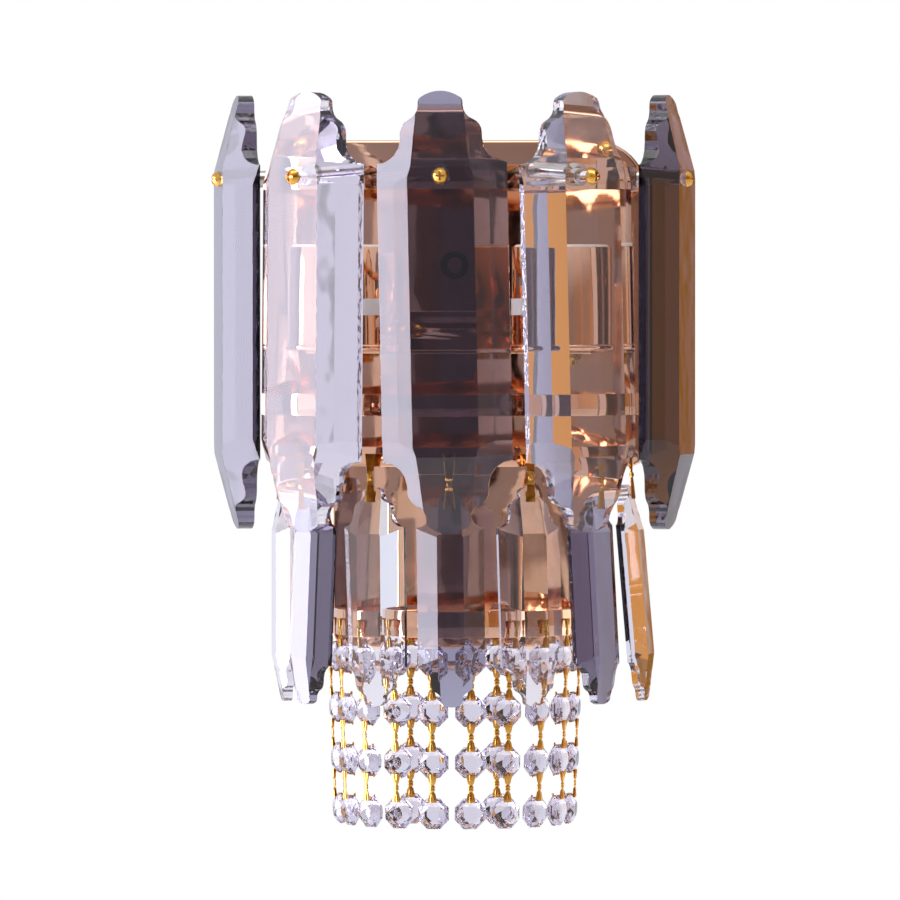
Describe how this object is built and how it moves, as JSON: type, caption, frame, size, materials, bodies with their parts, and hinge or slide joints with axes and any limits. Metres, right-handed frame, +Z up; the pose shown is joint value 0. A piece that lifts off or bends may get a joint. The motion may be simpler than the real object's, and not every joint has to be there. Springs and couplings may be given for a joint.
{
  "type": "wall sconce",
  "caption": "Crystal wall sconce: polished plate with half rings, upright lampholders behind tall bevelled crystals, smaller hanging crystals and a fringe of octagon bead strands.",
  "frame": {"origin": "on the wall plane, midway between the two wall screws of the mounting bar", "axes": "+Z up, +Y into the wall, -Y out into the room, +X to the viewer's right"},
  "size_m": [0.223, 0.1391, 0.3367],
  "materials": {
    "rose_gold_plating": "polished rose-gold plating on pressed steel",
    "yellow_gold_plating": "polished yellow-gold plating",
    "zinc_plated_steel": "zinc-plated pressed steel",
    "sleeve_steel": "bright nickel-plated tube",
    "shell_steel": "nickel-plated sheet, rolled thread",
    "brass": "turned brass",
    "white_plastic": "moulded polyamide",
    "lampholder_plastic": "moulded white thermoset",
    "black_rubber": "soft black rubber",
    "smoked_crystal": "ground and polished smoked glass",
    "clear_crystal": "ground and polished clear glass",
    "bead_crystal": "faceted clear glass"
  },
  "bodies": {
    "fixture": {"mounting_bar": "zinc_plated_steel", "mounting_studs": "yellow_gold_plating", "cap_nuts": "yellow_gold_plating", "wall_plate": "rose_gold_plating", "terminal_block": "white_plastic", "terminal_screws": "brass", "earth_screw": "brass", "cable_grommet": "black_rubber", "lamp_bracket": "rose_gold_plating", "lamp_bracket_screws": "yellow_gold_plating", "lampholder_left": "lampholder_plastic", "lampholder_right": "lampholder_plastic", "lamp_cups": "rose_gold_plating", "socket_shells": "shell_steel", "socket_contacts": "brass", "holder_nipples": "brass", "top_band": "rose_gold_plating", "lower_band": "rose_gold_plating", "hook_ring": "rose_gold_plating", "bead_ring": "rose_gold_plating", "band_screws": "yellow_gold_plating", "prism_screws": "yellow_gold_plating", "prism_sleeves": "sleeve_steel", "prism_nuts": "yellow_gold_plating", "drop_clips": "yellow_gold_plating", "prism_1": "smoked_crystal", "prism_2": "clear_crystal", "prism_3": "smoked_crystal", "prism_4": "clear_crystal", "prism_5": "smoked_crystal"},
    "crystal_1": {"drop_1": "clear_crystal"},
    "crystal_2": {"drop_2": "smoked_crystal"},
    "crystal_3": {"drop_3": "clear_crystal"},
    "crystal_4": {"drop_4": "smoked_crystal"},
    "crystal_5": {"drop_5": "clear_crystal"},
    "crystal_6": {"drop_6": "smoked_crystal"},
    "crystal_7": {"drop_7": "clear_crystal"},
    "strand_1": {"beads_1": "bead_crystal", "links_1": "yellow_gold_plating"},
    "strand_2": {"beads_2": "bead_crystal", "links_2": "yellow_gold_plating"},
    "strand_3": {"beads_3": "bead_crystal", "links_3": "yellow_gold_plating"},
    "strand_4": {"beads_4": "bead_crystal", "links_4": "yellow_gold_plating"},
    "strand_5": {"beads_5": "bead_crystal", "links_5": "yellow_gold_plating"},
    "strand_6": {"beads_6": "bead_crystal", "links_6": "yellow_gold_plating"},
    "strand_7": {"beads_7": "bead_crystal", "links_7": "yellow_gold_plating"},
    "strand_8": {"beads_8": "bead_crystal", "links_8": "yellow_gold_plating"},
    "strand_9": {"beads_9": "bead_crystal", "links_9": "yellow_gold_plating"},
    "strand_10": {"beads_10": "bead_crystal", "links_10": "yellow_gold_plating"},
    "strand_11": {"beads_11": "bead_crystal", "links_11": "yellow_gold_plating"},
    "strand_12": {"beads_12": "bead_crystal", "links_12": "yellow_gold_plating"}
  },
  "joints": [
    {"name": "crystal_1_sway", "type": "hinge", "parent": "fixture", "child": "crystal_1", "pos_m": [-0.07503, -0.04441, -0.149], "axis": [-0.9681, -0.2504, 0], "range_deg": [-2.2, 2.2]},
    {"name": "crystal_2_sway", "type": "hinge", "parent": "fixture", "child": "crystal_2", "pos_m": [-0.05989, -0.07525, -0.14905], "axis": [-0.7656, -0.6424, 0.0349], "range_deg": [-2.2, 2.2]},
    {"name": "crystal_3_sway", "type": "hinge", "parent": "fixture", "child": "crystal_3", "pos_m": [-0.03214, -0.09552, -0.149], "axis": [-0.4147, -0.91, 0], "range_deg": [-2.2, 2.2]},
    {"name": "crystal_4_sway", "type": "hinge", "parent": "fixture", "child": "crystal_4", "pos_m": [0.00203, -0.10248, -0.149], "axis": [0.0262, -0.9997, 0], "range_deg": [-2.2, 2.2]},
    {"name": "crystal_5_sway", "type": "hinge", "parent": "fixture", "child": "crystal_5", "pos_m": [0.0361, -0.09434, -0.14905], "axis": [0.4615, -0.8865, 0.0349], "range_deg": [-2.2, 2.2]},
    {"name": "crystal_6_sway", "type": "hinge", "parent": "fixture", "child": "crystal_6", "pos_m": [0.0627, -0.07225, -0.14907], "axis": [0.7975, -0.601, 0.0523], "range_deg": [-2.2, 2.2]},
    {"name": "crystal_7_sway", "type": "hinge", "parent": "fixture", "child": "crystal_7", "pos_m": [0.07759, -0.04079, -0.14909], "axis": [0.9762, -0.1986, 0.0872], "range_deg": [-2.2, 2.2]},
    {"name": "strand_1_swing", "type": "hinge", "parent": "fixture", "child": "strand_1", "pos_m": [-0.05547, -0.03528, -0.2055], "axis": [-0.1822, 0.9833, 0], "range_deg": [-3, 22]},
    {"name": "strand_2_swing", "type": "hinge", "parent": "fixture", "child": "strand_2", "pos_m": [-0.04958, -0.05192, -0.2055], "axis": [-0.4772, 0.8788, 0], "range_deg": [-3, 22]},
    {"name": "strand_3_swing", "type": "hinge", "parent": "fixture", "child": "strand_3", "pos_m": [-0.03883, -0.06592, -0.2055], "axis": [-0.7254, 0.6884, 0], "range_deg": [-3, 22]},
    {"name": "strand_4_swing", "type": "hinge", "parent": "fixture", "child": "strand_4", "pos_m": [-0.02429, -0.07592, -0.2055], "axis": [-0.9026, 0.4305, 0], "range_deg": [-3, 22]},
    {"name": "strand_5_swing", "type": "hinge", "parent": "fixture", "child": "strand_5", "pos_m": [-0.00736, -0.08093, -0.2055], "axis": [-0.9914, 0.1305, 0], "range_deg": [-3, 22]},
    {"name": "strand_6_swing", "type": "hinge", "parent": "fixture", "child": "strand_6", "pos_m": [0.01028, -0.08047, -0.2055], "axis": [-0.9833, -0.1822, 0], "range_deg": [-3, 22]},
    {"name": "strand_7_swing", "type": "hinge", "parent": "fixture", "child": "strand_7", "pos_m": [0.02692, -0.07458, -0.2055], "axis": [-0.8788, -0.4772, 0], "range_deg": [-3, 22]},
    {"name": "strand_8_swing", "type": "hinge", "parent": "fixture", "child": "strand_8", "pos_m": [0.04092, -0.06383, -0.2055], "axis": [-0.6884, -0.7254, 0], "range_deg": [-3, 22]},
    {"name": "strand_9_swing", "type": "hinge", "parent": "fixture", "child": "strand_9", "pos_m": [0.05092, -0.04929, -0.2055], "axis": [-0.4305, -0.9026, 0], "range_deg": [-3, 22]},
    {"name": "strand_10_swing", "type": "hinge", "parent": "fixture", "child": "strand_10", "pos_m": [0.05593, -0.03236, -0.2055], "axis": [-0.1305, -0.9914, 0], "range_deg": [-3, 22]},
    {"name": "strand_11_swing", "type": "hinge", "parent": "fixture", "child": "strand_11", "pos_m": [-0.02, -0.036, -0.2055], "axis": [-1, 0, 0], "range_deg": [-5, 12]},
    {"name": "strand_12_swing", "type": "hinge", "parent": "fixture", "child": "strand_12", "pos_m": [0.02, -0.036, -0.2055], "axis": [-1, 0, 0], "range_deg": [-5, 12]}
  ]
}
